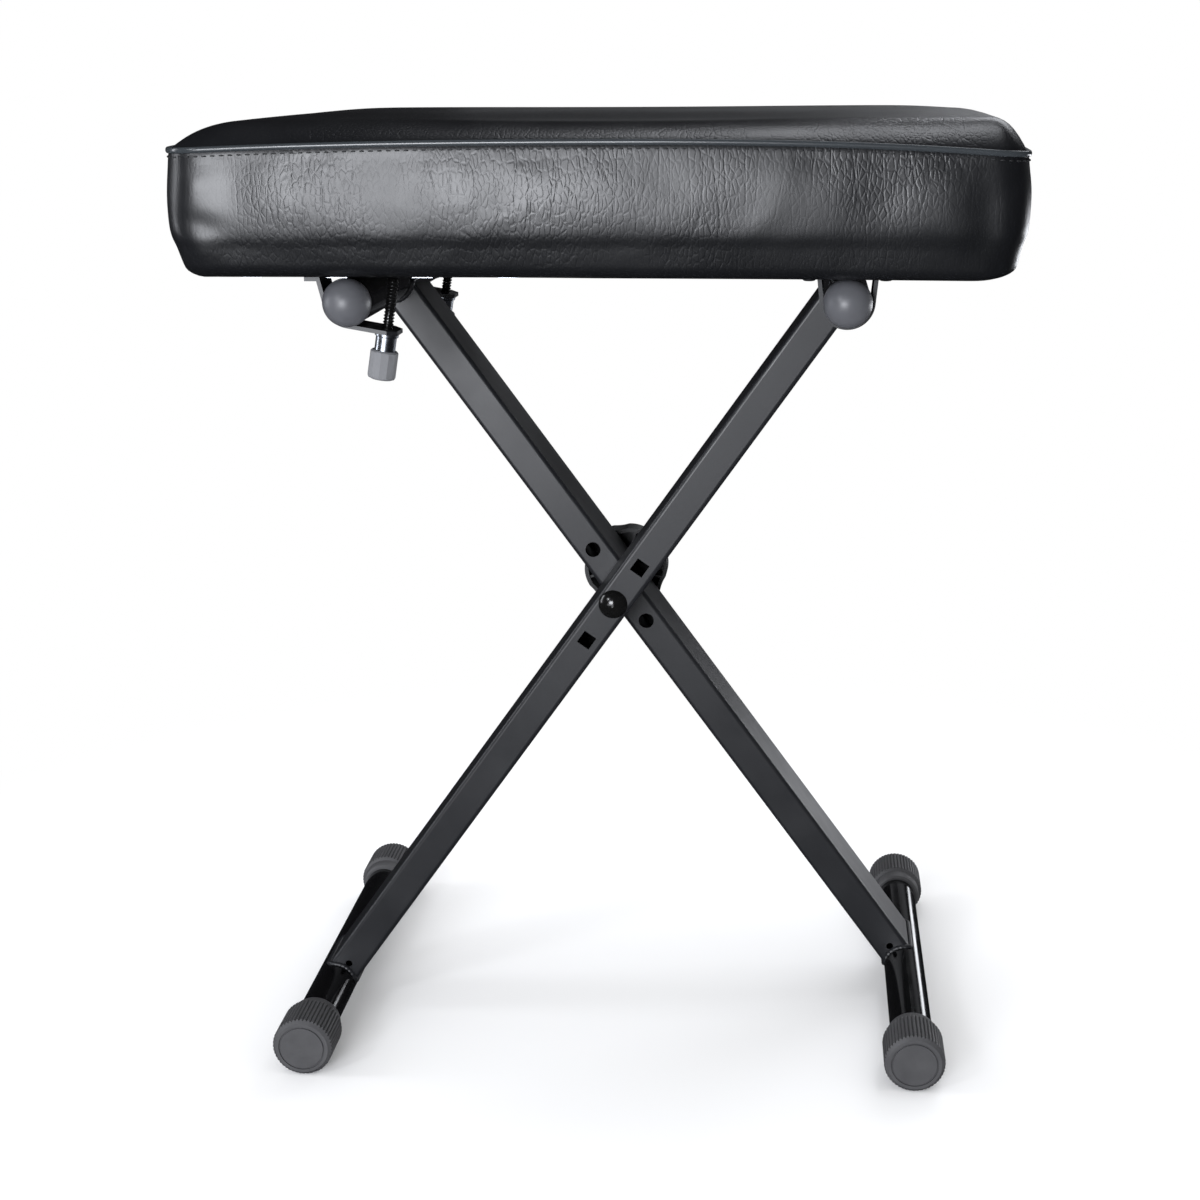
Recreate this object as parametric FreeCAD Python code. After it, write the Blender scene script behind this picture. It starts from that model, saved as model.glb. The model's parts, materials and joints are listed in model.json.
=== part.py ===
# Folding keyboard bench: a padded seat on two crossed legs that pivot on one bolt.
# Millimetres. +Z is up, the front (bolt head side) faces -Y, the origin is on the floor,
# in the middle of the bench. Each sub-part is written to parts/NAME.step.
import FreeCAD
import Part
import math
import os

# Crossed legs
LEG_ANGLE = 54.3          # slope of each bar above the floor, degrees
LOWER_ARM = 307.5         # foot tube axis to pivot, along the bar
UPPER_ARM = 228.4         # pivot to top tube axis, along the bar
BAR_WIDTH = 20.0          # seen from the front
BAR_DEPTH = 40.0          # along the pivot
BAR_WALL = 1.5
BAR_INNER_CORNER = 1.1    # corner radius inside the rectangular tube
BAR_GAP = 3.2             # between the two bars, filled by the spacer
BARS_SET_FORWARD = 8.6    # middle of the bar pair, in front of the middle of the feet
HEIGHT_HOLE_PITCH = 27.5  # from one height hole to the next, along the bar
SQUARE_HOLE_FIT = 0.4     # square holes wider than the bolt
ROUND_HOLE_FIT = 1.3      # round holes wider than the bolt
VENT_HOLE = 4.4
VENT_RISE = 16.0          # vent hole above the foot tube axis, along the bar

# Foot tubes and their ribbed rubber caps
FOOT_TUBE_D = 25.0
TUBE_WALL = 1.5
FOOT_LENGTH = 271.0       # over the caps
CAP_WALL = 5.25           # rubber round the tube, over the ribs
CAP_LENGTH = 36.6
CAP_END_WALL = 3.2
CAP_RIBS = 48
CAP_RIB_HEIGHT = 0.85
CAP_RIB_TIP = 1.0
CAP_END_CHAMFER = 2.2
CAP_COLLAR_WALL = 3.2
CAP_COLLAR_LENGTH = 8.0
CAP_SHOULDER = 2.5        # slope from the ribs down to the collar
CAP_MOUTH_WALL = 1.2
CAP_MOUTH_TAPER = 3.5
CAP_DISC_EDGE = 5.05      # from the ribs to the raised disc on the closed end
CAP_GROOVE = 1.1
CAP_GROOVE_DEPTH = 0.8
PRESS_CLEARANCE = 0.05    # between a tube and the plug or cap that is pushed on it

# Top tubes and their ball plugs
TOP_TUBE_D = 25.0
TOP_TUBE_INSET = 18.0     # end of the tube behind the seat's front edge
PLUG_OVERHANG = 0.5       # rim of the plug outside the tube
PLUG_RIM = 1.6
PLUG_STUB = 15.0
PLUG_BARBS = 3
PLUG_BARB = 0.35
PLUG_BARB_LEAD = 0.4
PLUG_STUB_WALL = 3.0

# Pivot bolt, spacer, washer and lobed knob
BOLT_D = 8.0
BOLT_HEAD_D = 17.2
BOLT_HEAD_HEIGHT = 4.6
BOLT_NECK = 5.0
BOLT_CHAMFER = 1.0
RUN_CLEARANCE = 0.1       # radial, or between faces that turn on each other
SPACER_D = 19.0
WASHER_D = 20.0
WASHER_THICK = 1.5
KNOB_R = 25.6             # mean radius of the lobed rim
KNOB_LOBES = 6
KNOB_LOBE_RISE = 1.3
KNOB_LOBE_SHARE = 0.64    # of one step round the knob, the rest is hollow
KNOB_TURN = 7.8           # first lobe above +X, degrees
KNOB_RIM_STANDOFF = 2.2   # rim of the knob behind the rear bar
KNOB_LENGTH = 17.0
KNOB_WALL = 2.4
KNOB_FLOOR = 3.6
KNOB_RIBS = 12
KNOB_RIB = 1.5
KNOB_RIB_SETBACK = 1.2    # ribs behind the rim
KNOB_HUB_D = 17.0
KNOB_NUT_D = 12.5
KNOB_BACK_ROUND = 3.0
KNOB_DISH_D = 25.6
KNOB_DISH_DEPTH = 1.0
BOLT_SPARE = 12.0         # thread inside the knob

# Seat
SEAT_WIDTH = 450.0
SEAT_DEPTH = 276.0
SEAT_TOP = 83.5           # flat top above the underside
SEAT_SHOULDER = 40.0      # width of the rounded shoulder between the seam and the flat top
SEAT_CORNER_R = 20.0
SEAT_SIDE_TAPER = 3.0     # bottom edge inside the seam, left and right
SEAT_SIDE_SWELL = 1.0
SEAT_FRONT_TAPER = 4.0    # bottom edge inside the seam, front and back
SEAT_FRONT_SWELL = 2.0
SEAM_END_HEIGHT = 64.5    # seam above the underside, at the corners
SEAM_BOW = 6.0            # seam rises this much more in the middle
SEAM_END_BOW = 2.0        # top above the corners, in the middle of the left and right ends
SEAT_EDGE_ROUND = 5.0
SEAT_LIFT = 0.9           # underside above the top tubes
COVER_THICK = 1.2
HEM_WIDTH = 18.0
SOFT_CLEARANCE = 0.3
BOARD_THICK = 12.0
BOARD_INSET = 12.0
BOARD_CORNER_R = 14.0
STAPLE_SPACING = 46.0
STAPLE_LENGTH = 11.0
STAPLE_WIRE = 0.7
STAPLE_PROUD = 0.3
STAPLE_INSET = 5.0        # from the hem's free edge

# Brackets under the seat, at the same places along both top tubes
BRACKET_FRONT_INSET = 35.0  # middle of the front bracket behind the seat's front edge
BRACKET_REAR_INSET = 64.0
STRAP_WIDTH = 24.0
STRAP_THICK = 2.2
CLAMP_LEAN = 13.0         # lean of a clamp's upright leg, degrees
CLAMP_FLANGE_SLOPE = 10.0
CLAMP_FLANGE_MARGIN = 7.0 # flange beyond the thumb screw
CLAMP_LIP = 6.0
CLAMP_CORNER = 5.0
CLAMP_CLEARANCE = 0.6     # clamp below the seat
CLAMP_HOLE_CLEARANCE = 0.3
SADDLE_LEAN = 6.0         # lean of a saddle's legs, degrees
SADDLE_MARGIN = 1.4       # flange beyond a screw head
SCREW_CLEARANCE = 0.5     # screw head to a saddle's leg
SCREW_D = 4.0
SCREW_HEAD_D = 7.4
SCREW_HEAD_HEIGHT = 2.6
SCREW_HEAD_ROUND = 1.4
SCREW_BITE = 10.0
SCREW_SPARE = 0.5         # hole beyond a screw's point

# Thumb screws of the clamps, and the nuts in the board that take them
THUMB_D = 6.0
THUMB_STANDOFF = 2.5      # from the strap round the tube to the screw
THUMB_BURIED = 8.0        # shank inside the grip
THREAD_CHAMFER = 0.8
FERRULE_D = 11.4
FERRULE_LENGTH = 11.0
FERRULE_SHOULDER_D = 13.0
FERRULE_SHOULDER = 2.0
FERRULE_BEVEL = 0.5
GRIP_D = 15.6
GRIP_LENGTH = 16.0
GRIP_FACETS = 12
GRIP_BEVEL = 1.0
GRIP_END_ROUND = 2.0
TEE_NUT_WALL = 1.3
TEE_NUT_FLANGE_D = 19.0
TEE_NUT_FLANGE = 1.2

# Places worked out from the sizes above
ORIGIN = FreeCAD.Vector(0, 0, 0)
X_AXIS = FreeCAD.Vector(1, 0, 0)
Y_AXIS = FreeCAD.Vector(0, 1, 0)
Z_AXIS = FreeCAD.Vector(0, 0, 1)
SLOPE = math.radians(LEG_ANGLE)
CAP_D = FOOT_TUBE_D + 2 * CAP_WALL
PLUG_D = TOP_TUBE_D + 2 * PLUG_OVERHANG
FOOT_Z = CAP_D / 2
FOOT_X = LOWER_ARM * math.cos(SLOPE)
PIVOT_Z = FOOT_Z + LOWER_ARM * math.sin(SLOPE)
TOP_X = UPPER_ARM * math.cos(SLOPE)
TOP_Z = PIVOT_Z + UPPER_ARM * math.sin(SLOPE)
SEAT_Z = TOP_Z + TOP_TUBE_D / 2 + SEAT_LIFT
BOARD_Z = SEAT_Z + COVER_THICK
TOP_TUBE_LENGTH = SEAT_DEPTH - 2 * TOP_TUBE_INSET
FRONT_BAR_Y = -BARS_SET_FORWARD - BAR_GAP / 2 - BAR_DEPTH
REAR_BAR_Y = -BARS_SET_FORWARD + BAR_GAP / 2
REAR_BAR_BACK = REAR_BAR_Y + BAR_DEPTH
BRACKET_YS = [BRACKET_FRONT_INSET - SEAT_DEPTH / 2, SEAT_DEPTH / 2 - BRACKET_REAR_INSET]
KNOB_FACE_Y = REAR_BAR_BACK + WASHER_THICK + 2 * RUN_CLEARANCE
KNOB_RIM_Y = REAR_BAR_BACK + KNOB_RIM_STANDOFF
KNOB_BACK_Y = KNOB_RIM_Y + KNOB_LENGTH
BOLT_END_Y = KNOB_FACE_Y + BOLT_SPARE
STRAP_IN = TOP_TUBE_D / 2 + RUN_CLEARANCE
STRAP_OUT = STRAP_IN + STRAP_THICK
THUMB_X = STRAP_OUT + THUMB_STANDOFF
TEE_NUT_D = THUMB_D + 2 * TEE_NUT_WALL
CLAMP_FLANGE_END = THUMB_X + CLAMP_FLANGE_MARGIN
SQUARE_HOLE = BOLT_D + SQUARE_HOLE_FIT
ROUND_HOLE = BOLT_D + ROUND_HOLE_FIT
OVERCUT = 1.0             # how far a cutting tool passes a face


def vec(x, y, z):
    return FreeCAD.Vector(x, y, z)


def box(x0, x1, y0, y1, z0, z1):
    return Part.makeBox(x1 - x0, y1 - y0, z1 - z0, vec(x0, y0, z0))


def rod(radius, start, direction, length):
    return Part.makeCylinder(radius, length, start, direction)


def along_y(radius, x, z, y0, y1):
    return rod(radius, vec(x, y0, z), Y_AXIS, y1 - y0)


def rounded_bar(shape, axis, radius):
    """Round the edges of a box that run along one axis."""
    edges = [e for e in shape.Edges if abs(abs(e.tangentAt(e.FirstParameter).dot(axis)) - 1) < 1e-6]
    return shape.makeFillet(radius, edges)


def turned(outline):
    """Solid of revolution about Y from (radius, y) points."""
    points = [vec(r, y, 0) for r, y in outline]
    face = Part.Face(Part.makePolygon(points + points[:1]))
    return face.revolve(ORIGIN, Y_AXIS, 360)


def arc(start, middle, end):
    return Part.Arc(start, middle, end).toShape()


def line(start, end):
    return Part.LineSegment(start, end).toShape()


def mirrored_end(shape):
    """The same piece on the other end of its tube."""
    other = shape.copy()
    other.rotate(ORIGIN, Z_AXIS, 180)
    return other


def moved(shape, x, y, z):
    other = shape.copy()
    other.translate(vec(x, y, z))
    return other


def on_leg(shape, leg):
    """Turn a piece from the leg's own frame (X up the bar, pivot at 0) into place."""
    placed = shape.copy()
    placed.rotate(ORIGIN, Y_AXIS, -LEG_ANGLE if leg == "front" else LEG_ANGLE - 180)
    placed.translate(vec(0, 0, PIVOT_Z))
    return placed


def bar(leg):
    """One rectangular bar, coped at both ends on its tubes, with its height holes."""
    y0 = FRONT_BAR_Y if leg == "front" else REAR_BAR_Y
    y1 = y0 + BAR_DEPTH
    half = BAR_WIDTH / 2
    shell = rounded_bar(box(-LOWER_ARM, UPPER_ARM, y0, y1, -half, half), X_AXIS, BAR_INNER_CORNER + BAR_WALL)
    hollow = box(-LOWER_ARM, UPPER_ARM, y0 + BAR_WALL, y1 - BAR_WALL, BAR_WALL - half, half - BAR_WALL)
    shell = shell.cut(rounded_bar(hollow, X_AXIS, BAR_INNER_CORNER))
    shell = shell.cut(along_y(FOOT_TUBE_D / 2, -LOWER_ARM, 0, y0 - 1, y1 + 1))
    shell = shell.cut(along_y(TOP_TUBE_D / 2, UPPER_ARM, 0, y0 - 1, y1 + 1))
    for place in (-1, 0, 1):
        x = place * HEIGHT_HOLE_PITCH
        if leg == "front":
            side = SQUARE_HOLE / 2
            shell = shell.cut(box(x - side, x + side, y0 - 1, y0 + BAR_WALL + 1, -side, side))
            shell = shell.cut(along_y(ROUND_HOLE / 2, x, 0, y1 - BAR_WALL - 1, y1 + 1))
        else:
            shell = shell.cut(along_y(ROUND_HOLE / 2, x, 0, y0 - 1, y1 + 1))
    vent = along_y(VENT_HOLE / 2, VENT_RISE - LOWER_ARM, 0, y0 - 1, y0 + BAR_WALL + 1)
    return on_leg(shell.cut(vent), leg)


def tube(diameter, x, z, length):
    outer = along_y(diameter / 2, x, z, -length / 2, length / 2)
    return outer.cut(along_y(diameter / 2 - TUBE_WALL, x, z, -length / 2 - 1, length / 2 + 1))


def foot_cap():
    """Ribbed rubber cap with its closed end at y = 0, open towards +Y."""
    tip = CAP_D / 2
    disc = tip - CAP_DISC_EDGE
    root = tip - CAP_RIB_HEIGHT
    step = 2 * math.pi / CAP_RIBS
    points = []
    for rib in range(CAP_RIBS):
        angle = rib * step - math.pi / 2
        out = vec(math.cos(angle), 0, math.sin(angle))
        side = vec(-out.z, 0, out.x)
        points += [out * tip - side * (CAP_RIB_TIP / 2), out * tip + side * (CAP_RIB_TIP / 2)]
        valley = angle + step / 2
        points.append(vec(root * math.cos(valley), 0, root * math.sin(valley)))
    ribbed = Part.Face(Part.makePolygon(points + points[:1])).extrude(vec(0, CAP_LENGTH, 0))
    collar = FOOT_TUBE_D / 2 + CAP_COLLAR_WALL
    bore = FOOT_TUBE_D / 2 + PRESS_CLEARANCE
    mouth = bore + CAP_MOUTH_WALL
    start = CAP_LENGTH - CAP_COLLAR_LENGTH
    envelope = turned([
        (0, 0), (tip - CAP_END_CHAMFER, 0), (tip + OVERCUT, CAP_END_CHAMFER + OVERCUT),
        (tip + OVERCUT, start - CAP_SHOULDER), (collar, start), (collar, CAP_LENGTH - CAP_MOUTH_TAPER),
        ((collar + mouth) / 2 + CAP_MOUTH_WALL / 4, CAP_LENGTH - CAP_MOUTH_TAPER / 3),
        (mouth, CAP_LENGTH), (0, CAP_LENGTH)])
    cap = ribbed.common(envelope)
    groove = along_y(disc + CAP_GROOVE, 0, 0, -OVERCUT, CAP_GROOVE_DEPTH)
    cap = cap.cut(groove.cut(along_y(disc, 0, 0, -2 * OVERCUT, CAP_LENGTH)))
    return cap.cut(along_y(bore, 0, 0, CAP_END_WALL, CAP_LENGTH + OVERCUT))


def ball_plug():
    """Half-ball plug with its rim at y = 0 and its barbed stub pushed in towards +Y."""
    stub = TOP_TUBE_D / 2 - TUBE_WALL - PRESS_CLEARANCE
    ball = PLUG_D / 2
    halfway = ball * math.sqrt(0.5)
    profile = Part.Wire([
        arc(vec(0, -PLUG_RIM - ball, 0), vec(halfway, -PLUG_RIM - halfway, 0), vec(ball, -PLUG_RIM, 0)),
        line(vec(ball, -PLUG_RIM, 0), vec(ball, 0, 0)),
        line(vec(ball, 0, 0), vec(0, 0, 0)),
        line(vec(0, 0, 0), vec(0, -PLUG_RIM - ball, 0))])
    dome = Part.Face(profile).revolve(ORIGIN, Y_AXIS, 360)
    core = stub - PLUG_BARB
    step = PLUG_STUB / PLUG_BARBS
    hollow = core - PLUG_STUB_WALL
    outline = [(0, -PLUG_RIM), (core, -PLUG_RIM)]
    for barb in range(PLUG_BARBS):
        outline += [(core, barb * step), (stub, barb * step + PLUG_BARB_LEAD), (core, (barb + 1) * step)]
    outline += [(hollow, PLUG_STUB), (hollow, PLUG_RIM), (0, PLUG_RIM)]
    return dome.fuse(turned(outline)).removeSplitter()


def pivot_bolt():
    """Cup-head square-neck bolt, head on the front face of the front bar."""
    head = BOLT_HEAD_D / 2
    curve = (head ** 2 + BOLT_HEAD_HEIGHT ** 2) / (2 * BOLT_HEAD_HEIGHT)
    half_way = math.asin(head / curve) / 2
    top = vec(0, -BOLT_HEAD_HEIGHT, 0)
    middle = vec(curve * math.sin(half_way), curve * (1 - math.cos(half_way)) - BOLT_HEAD_HEIGHT, 0)
    profile = Part.Wire([arc(top, middle, vec(head, 0, 0)), line(vec(head, 0, 0), ORIGIN), line(ORIGIN, top)])
    dome = moved(Part.Face(profile).revolve(ORIGIN, Y_AXIS, 360), 0, FRONT_BAR_Y, 0)
    side = SQUARE_HOLE / 2 - RUN_CLEARANCE
    neck = box(-side, side, FRONT_BAR_Y, FRONT_BAR_Y + BOLT_NECK, -side, side)
    shank = along_y(BOLT_D / 2, 0, 0, FRONT_BAR_Y, BOLT_END_Y)
    shank = shank.makeChamfer(BOLT_CHAMFER, [e for e in shank.Edges if e.BoundBox.YMin > BOLT_END_Y - 0.01])
    return on_leg(dome.fuse([neck, shank]), "front")


def ring(outer_d, inner_d, y0, y1):
    washer = along_y(outer_d / 2, 0, PIVOT_Z, y0, y1)
    return washer.cut(along_y(inner_d / 2, 0, PIVOT_Z, y0 - 1, y1 + 1))


def lobed_outline(offset, y):
    """Closed wire of convex lobes joined by shallow hollows."""
    def at(turn, radius):
        return vec(radius * math.cos(turn), y, PIVOT_Z + radius * math.sin(turn))
    step = 2 * math.pi / KNOB_LOBES
    high = KNOB_R + KNOB_LOBE_RISE / 2 - offset
    low = KNOB_R - KNOB_LOBE_RISE / 2 - offset
    edges = []
    for lobe in range(KNOB_LOBES):
        centre = math.radians(KNOB_TURN) + lobe * step
        start = centre - KNOB_LOBE_SHARE * step / 2
        end = centre + KNOB_LOBE_SHARE * step / 2
        following = start + step
        shoulder = KNOB_R + KNOB_LOBE_RISE / 6 - offset
        edges.append(arc(at(start, shoulder), at(centre, high), at(end, shoulder)))
        edges.append(arc(at(end, shoulder), at(centre + step / 2, low), at(following, shoulder)))
    return Part.Wire(edges)


def knob_body():
    """Lobed knob, hollow and ribbed on the side that faces the bars."""
    body = Part.Face(lobed_outline(0, KNOB_RIM_Y)).extrude(vec(0, KNOB_LENGTH, 0))
    rim = [e for e in body.Edges if e.BoundBox.YMin > KNOB_BACK_Y - 0.01]
    body = body.makeFillet(KNOB_BACK_ROUND, rim)
    floor_y = KNOB_BACK_Y - KNOB_FLOOR
    inside = Part.Face(lobed_outline(KNOB_WALL, KNOB_RIM_Y - OVERCUT))
    body = body.cut(inside.extrude(vec(0, floor_y - KNOB_RIM_Y + OVERCUT, 0)))
    ribs = []
    for number in range(KNOB_RIBS):
        rib = box(0, KNOB_R - KNOB_WALL / 2, KNOB_RIM_Y + KNOB_RIB_SETBACK, floor_y,
                  -KNOB_RIB / 2, KNOB_RIB / 2)
        rib.rotate(ORIGIN, Y_AXIS, (number + 0.5) * 360 / KNOB_RIBS)
        ribs.append(moved(rib, 0, 0, PIVOT_Z))
    hub = along_y(KNOB_HUB_D / 2, 0, PIVOT_Z, KNOB_FACE_Y, floor_y)
    body = body.fuse(ribs + [hub])
    body = body.cut(along_y(KNOB_NUT_D / 2, 0, PIVOT_Z, KNOB_FACE_Y - 1, BOLT_END_Y))
    dish = along_y(KNOB_DISH_D / 2, 0, PIVOT_Z, KNOB_BACK_Y - KNOB_DISH_DEPTH, KNOB_BACK_Y + OVERCUT)
    return body.cut(dish).removeSplitter()


def rounded_rectangle(half_x, half_y, radius, z):
    """Closed wire in a level plane, lines and quarter arcs."""
    edges = []
    corners = [(1, -1, -90), (1, 1, 0), (-1, 1, 90), (-1, -1, 180)]
    points = []
    for sx, sy, first in corners:
        centre = vec(sx * (half_x - radius), sy * (half_y - radius), z)
        at = [centre + vec(radius * math.cos(math.radians(a)), radius * math.sin(math.radians(a)), 0)
              for a in (first, first + 45, first + 90)]
        points.append(at)
    for number, at in enumerate(points):
        edges.append(arc(*at))
        edges.append(line(at[2], points[(number + 1) % 4][0]))
    return Part.Wire(edges)


def seat_section(x, inset):
    """The cushion cut across at x: flat underside, swollen bands, rounded shoulders, flat top."""
    half_w = SEAT_WIDTH / 2
    share = min(1, abs(x) / half_w)
    seam = SEAM_END_HEIGHT + SEAM_BOW * (1 - share ** 2)
    inside = min(1, max(0, half_w - abs(x)) / SEAT_SHOULDER)
    lowest = seam + SEAM_END_BOW
    rise = lowest + (SEAT_TOP - lowest) * (1 - (1 - inside) ** 2) - seam
    curve = (SEAT_SHOULDER ** 2 + rise ** 2) / (2 * rise)
    drop = curve - math.sqrt(curve ** 2 - (SEAT_SHOULDER / 2) ** 2)
    bottom = SEAT_Z + inset
    edge = SEAT_Z + seam - inset
    half_d = SEAT_DEPTH / 2 - inset
    low_d = half_d - SEAT_FRONT_TAPER
    swell = half_d - SEAT_FRONT_TAPER / 2 + SEAT_FRONT_SWELL
    middle = (bottom + edge) / 2
    bend = half_d - SEAT_SHOULDER / 2
    flat = half_d - SEAT_SHOULDER
    return Part.Wire([
        line(vec(x, -low_d, bottom), vec(x, low_d, bottom)),
        arc(vec(x, low_d, bottom), vec(x, swell, middle), vec(x, half_d, edge)),
        arc(vec(x, half_d, edge), vec(x, bend, edge + rise - drop), vec(x, flat, edge + rise)),
        line(vec(x, flat, edge + rise), vec(x, -flat, edge + rise)),
        arc(vec(x, -flat, edge + rise), vec(x, -bend, edge + rise - drop), vec(x, -half_d, edge)),
        arc(vec(x, -half_d, edge), vec(x, -swell, middle), vec(x, -low_d, bottom))])


def seat_form(inset):
    """The crowned cushion, drawn in towards its underside; inset makes the inner skin."""
    half_w = SEAT_WIDTH / 2
    plateau = half_w - SEAT_SHOULDER
    right = [plateau / 2, plateau, half_w - SEAT_SHOULDER * 2 / 3, half_w - SEAT_SHOULDER / 3,
             half_w, half_w + OVERCUT]
    places = [-x for x in reversed(right)] + [0] + right
    along = Part.makeLoft([seat_section(x, inset) for x in places], True, False)
    outlines = []
    for height, taper in ((0, SEAT_SIDE_TAPER), (SEAM_END_HEIGHT / 2, SEAT_SIDE_TAPER / 2 - SEAT_SIDE_SWELL),
                          (SEAM_END_HEIGHT, 0), (SEAT_TOP + OVERCUT, 0)):
        reach_x = half_w - taper - inset
        reach_y = SEAT_DEPTH / 2 + SEAT_FRONT_SWELL + OVERCUT - inset
        outlines.append(rounded_rectangle(reach_x, reach_y, SEAT_CORNER_R - inset, SEAT_Z + height))
    form = along.common(Part.makeLoft(outlines, True, True))
    under = [e for e in form.Edges if e.BoundBox.ZMax < SEAT_Z + inset + 0.01]
    return form.makeFillet(SEAT_EDGE_ROUND - inset, under)


def seat_cover():
    """Sewn skin: open under the board, where its hem is stapled."""
    skin = seat_form(0).cut(seat_form(COVER_THICK))
    inner = rounded_rectangle(SEAT_WIDTH / 2 - SEAT_SIDE_TAPER - HEM_WIDTH,
                              SEAT_DEPTH / 2 - SEAT_FRONT_TAPER - HEM_WIDTH, SEAT_CORNER_R, SEAT_Z - 1)
    return skin.cut(Part.Face(inner).extrude(vec(0, 0, COVER_THICK + 2)))


def board_blank(grow, height):
    half_x = SEAT_WIDTH / 2 - BOARD_INSET + grow
    half_y = SEAT_DEPTH / 2 - BOARD_INSET + grow
    outline = rounded_rectangle(half_x, half_y, BOARD_CORNER_R + grow, BOARD_Z)
    return Part.Face(outline).extrude(vec(0, 0, height))


def thumb_frame():
    """Middle of the clamp flange where the thumb screw passes, and the screw's direction."""
    tilt = math.radians(CLAMP_FLANGE_SLOPE)
    axis = vec(math.sin(tilt), 0, math.cos(tilt))
    radius = (STRAP_IN + STRAP_OUT) / 2
    start = vec(-radius * math.sin(tilt), 0, -radius * math.cos(tilt))
    run = (THUMB_X - start.x) / math.cos(tilt)
    return start + vec(math.cos(tilt), 0, -math.sin(tilt)) * run, axis


def tee_nut_places():
    middle, axis = thumb_frame()
    rise = (BOARD_Z - TOP_Z - middle.z) / axis.z
    return [vec(-TOP_X + middle.x + axis.x * rise, y, BOARD_Z) for y in BRACKET_YS]


def saddle_side(radius, height):
    """How far a saddle's leg stands from the tube axis at a height above it."""
    lean = math.radians(SADDLE_LEAN)
    return radius * math.cos(lean) + (height + radius * math.sin(lean)) * math.tan(lean)


def screw_reach():
    """From the tube axis to a saddle screw, whose head stands clear of the leg."""
    flange = BOARD_Z - TOP_Z - STRAP_THICK
    return saddle_side(STRAP_OUT, flange) + SCREW_CLEARANCE + SCREW_HEAD_D / 2


def screw_places():
    return [vec(TOP_X + side * screw_reach(), y, BOARD_Z) for y in BRACKET_YS for side in (-1, 1)]


def seat_board():
    board = board_blank(0, BOARD_THICK)
    for place in tee_nut_places():
        board = board.cut(rod(TEE_NUT_D / 2 + PRESS_CLEARANCE, place - Z_AXIS, Z_AXIS, BOARD_THICK + 2))
    for place in screw_places():
        board = board.cut(rod(SCREW_D / 2 + PRESS_CLEARANCE, place - Z_AXIS, Z_AXIS, SCREW_BITE + OVERCUT))
    return board


def tee_nuts():
    nuts = []
    for place in tee_nut_places():
        barrel = rod(TEE_NUT_D / 2, place, Z_AXIS, BOARD_THICK)
        plate = rod(TEE_NUT_FLANGE_D / 2, place + Z_AXIS * BOARD_THICK, Z_AXIS, TEE_NUT_FLANGE)
        nut = barrel.fuse(plate)
        nuts.append(nut.cut(rod(THUMB_D / 2, place - Z_AXIS, Z_AXIS, BOARD_THICK + TEE_NUT_FLANGE + 2)))
    return Part.makeCompound(nuts)


def seat_foam():
    """Foam block that fills the cover and wraps the edge of the board."""
    foam = seat_form(COVER_THICK + SOFT_CLEARANCE)
    below = BOARD_Z + SOFT_CLEARANCE
    foam = foam.cut(box(-SEAT_WIDTH, SEAT_WIDTH, -SEAT_DEPTH, SEAT_DEPTH, SEAT_Z - OVERCUT, below))
    foam = foam.cut(board_blank(SOFT_CLEARANCE, BOARD_THICK + SOFT_CLEARANCE))
    for place in tee_nut_places():
        pocket = TEE_NUT_FLANGE_D / 2 + SOFT_CLEARANCE
        depth = BOARD_THICK + TEE_NUT_FLANGE + SOFT_CLEARANCE
        foam = foam.cut(rod(pocket, place, Z_AXIS, depth))
    return foam


def hem_staples():
    """Wire staples pressed in the hem, all round the underside."""
    half_x = SEAT_WIDTH / 2 - SEAT_SIDE_TAPER - HEM_WIDTH + STAPLE_INSET
    half_y = SEAT_DEPTH / 2 - SEAT_FRONT_TAPER - HEM_WIDTH + STAPLE_INSET
    z0 = SEAT_Z - STAPLE_PROUD
    staples = []
    for half_run, half_across, turn in ((half_x, half_y, 0), (half_y, half_x, 90)):
        count = int(2 * (half_run - SEAT_CORNER_R) / STAPLE_SPACING)
        for number in range(count + 1):
            run = (number - count / 2) * STAPLE_SPACING
            for side in (-1, 1):
                staple = box(run - STAPLE_LENGTH / 2, run + STAPLE_LENGTH / 2,
                             side * half_across - STAPLE_WIRE / 2, side * half_across + STAPLE_WIRE / 2,
                             z0, SEAT_Z)
                staple.rotate(ORIGIN, Z_AXIS, turn)
                staples.append(staple)
    return Part.makeCompound(staples)


def strap(outline, y, width):
    """Bent strip from its closed side view, given in the tube's own frame."""
    face = Part.Face(outline)
    return moved(face.extrude(vec(0, width, 0)), 0, y - width / 2, 0)


def round_tube(angle, radius):
    return vec(radius * math.cos(math.radians(angle)), 0, radius * math.sin(math.radians(angle)))


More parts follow.
